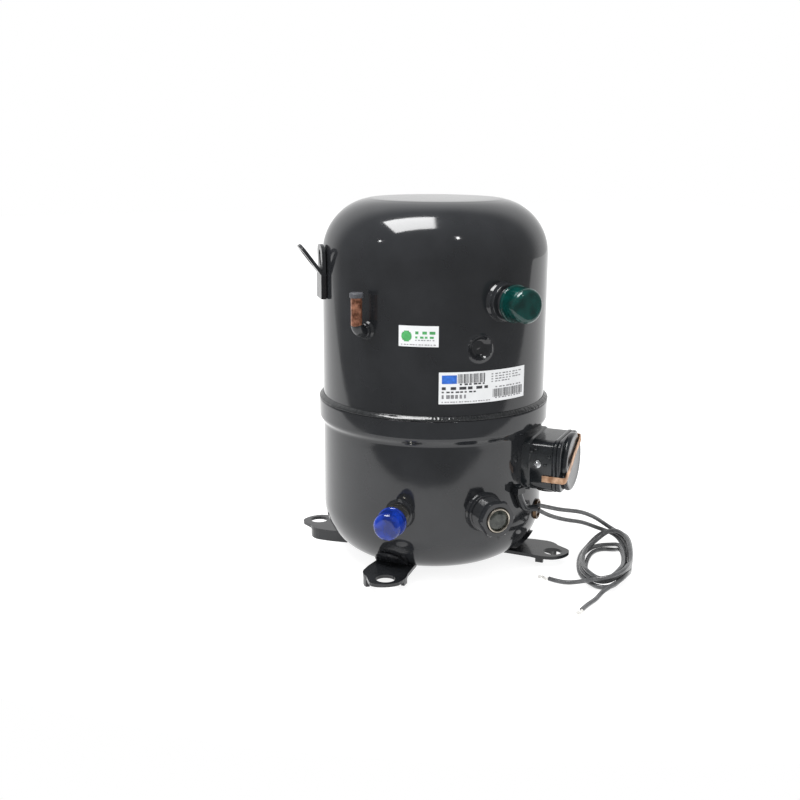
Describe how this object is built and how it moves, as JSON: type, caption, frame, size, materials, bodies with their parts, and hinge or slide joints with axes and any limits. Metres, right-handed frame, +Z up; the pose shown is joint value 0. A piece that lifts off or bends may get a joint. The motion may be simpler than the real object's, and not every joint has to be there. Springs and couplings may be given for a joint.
{
  "type": "hermetic reciprocating compressor",
  "caption": "Welded black steel compressor shell on feet, with capped suction and discharge ports, oil sight glass, terminal box, heater leads and a sprung pump and motor inside.",
  "frame": {"origin": "on the floor plane under the feet, at the centre of the box of everything but the heater leads", "axes": "+Z up along the crankshaft; X and Y along the sides of the square foot pattern; the suction port and sight glass face -Y and the terminal box is at the +X -Y corner"},
  "size_m": [0.3424, 0.3372, 0.375],
  "materials": {
    "enamel": "gloss black enamel",
    "black_plastic": "semi-gloss black",
    "copper": "worn copper",
    "windings": "varnished copper wire",
    "rubber": "matt black",
    "teal_plastic": "translucent dark teal",
    "blue_plastic": "translucent royal blue",
    "sight_glass": "clear over dark oil",
    "label_film": "satin white film",
    "cast_iron": "machined casting",
    "lamination": "stacked laminations",
    "aluminium": "machined",
    "steel": "plain bright"
  },
  "bodies": {
    "shell": {"upper_shell": "enamel", "lower_shell": "enamel", "seam_weld": "enamel", "foot_front": "enamel", "foot_right": "enamel", "foot_rear": "enamel", "foot_left": "enamel", "lifting_lug": "enamel", "process_sleeve": "enamel", "process_tube": "copper", "suction_spigot": "enamel", "discharge_spigot": "enamel", "sight_glass_spigot": "enamel", "sight_glass_nut": "enamel", "sight_glass_ring": "steel", "sight_glass_lens": "sight_glass", "terminal_box": "black_plastic", "earth_screw": "steel", "cable_entry": "black_plastic", "hermetic_terminal": "steel", "terminal_pin_1": "steel", "terminal_pin_2": "steel", "terminal_pin_3": "steel", "eco_label": "label_film", "data_label": "label_film", "heater_plug": "copper", "lead_clip": "steel", "lead_sheath": "rubber", "lead_upper": "rubber", "lead_lower": "rubber", "lead_hank": "rubber", "lead_tail_1": "rubber", "lead_tail_2": "rubber", "discharge_line": "copper", "suspension_cradle": "steel", "spring_a": "steel", "spring_b": "steel", "spring_c": "steel", "spring_d": "steel"},
    "pump": {"crankcase": "cast_iron", "outboard_bearing": "cast_iron", "valve_plate_front": "steel", "cylinder_head_front": "cast_iron", "valve_plate_back": "steel", "cylinder_head_back": "cast_iron", "stator_core": "lamination", "stator_windings": "windings", "suction_muffler": "steel"},
    "crank": {"crankshaft": "steel", "oil_pickup": "steel", "rotor": "lamination", "balance_weight": "steel"},
    "block": {"slide_block": "cast_iron"},
    "gallery": {"gallery_plug": "copper"},
    "yoke": {"piston_yoke": "aluminium"},
    "suction_cap": {"suction_cap": "teal_plastic"},
    "discharge_cap": {"discharge_cap": "blue_plastic"},
    "cover": {"terminal_cover": "black_plastic"},
    "strap": {"cover_strap": "copper"},
    "tube_plug": {"process_plug": "rubber"}
  },
  "joints": [
    {"name": "suspension", "type": "slide", "parent": "shell", "child": "pump", "axis": [0, 0, 1], "range_m": [-0.0025, 0.0025], "stiffness_N_per_m": 60000, "springref_m": 0.0045, "deforming": ["spring_a", "spring_b", "spring_c", "spring_d", "discharge_line"]},
    {"name": "crankshaft_spin", "type": "hinge", "parent": "pump", "child": "crank", "pos_m": [0.00703, 0.01758, 0.15], "axis": [0, 0, 1], "continuous": true},
    {"name": "block_turn", "type": "hinge", "parent": "crank", "child": "block", "pos_m": [0.01703, 0.01758, 0.11], "axis": [0, 0, 1], "continuous": true},
    {"name": "gallery_turn", "type": "hinge", "parent": "crank", "child": "gallery", "pos_m": [0.01203, 0.01758, 0.326], "axis": [0, 0, 1], "continuous": true},
    {"name": "yoke_turn", "type": "hinge", "parent": "gallery", "child": "yoke", "pos_m": [0.01703, 0.01758, 0.11], "axis": [0, 0, 1], "continuous": true},
    {"name": "suction_cap_pull", "type": "slide", "parent": "shell", "child": "suction_cap", "axis": [0.165, -0.9863, 0], "range_m": [0, 0.026]},
    {"name": "discharge_cap_pull", "type": "slide", "parent": "shell", "child": "discharge_cap", "axis": [-0.6626, -0.749, 0], "range_m": [0, 0.028]},
    {"name": "cover_lift", "type": "slide", "parent": "shell", "child": "cover", "axis": [0.682, -0.7314, 0], "range_m": [0, 0.04]},
    {"name": "strap_swing", "type": "hinge", "parent": "cover", "child": "strap", "pos_m": [0.12636, -0.07706, 0.13555], "axis": [-0.3657, -0.341, 0.866], "range_deg": [0, 90]},
    {"name": "plug_pull", "type": "slide", "parent": "shell", "child": "tube_plug", "axis": [0, 0, 1], "range_m": [0, 0.014]}
  ],
  "couplings": [
    {"joint": "block_turn", "follows": "crankshaft_spin", "ratio": -1},
    {"joint": "gallery_turn", "follows": "crankshaft_spin", "ratio": -2},
    {"joint": "yoke_turn", "follows": "crankshaft_spin", "ratio": 1}
  ]
}
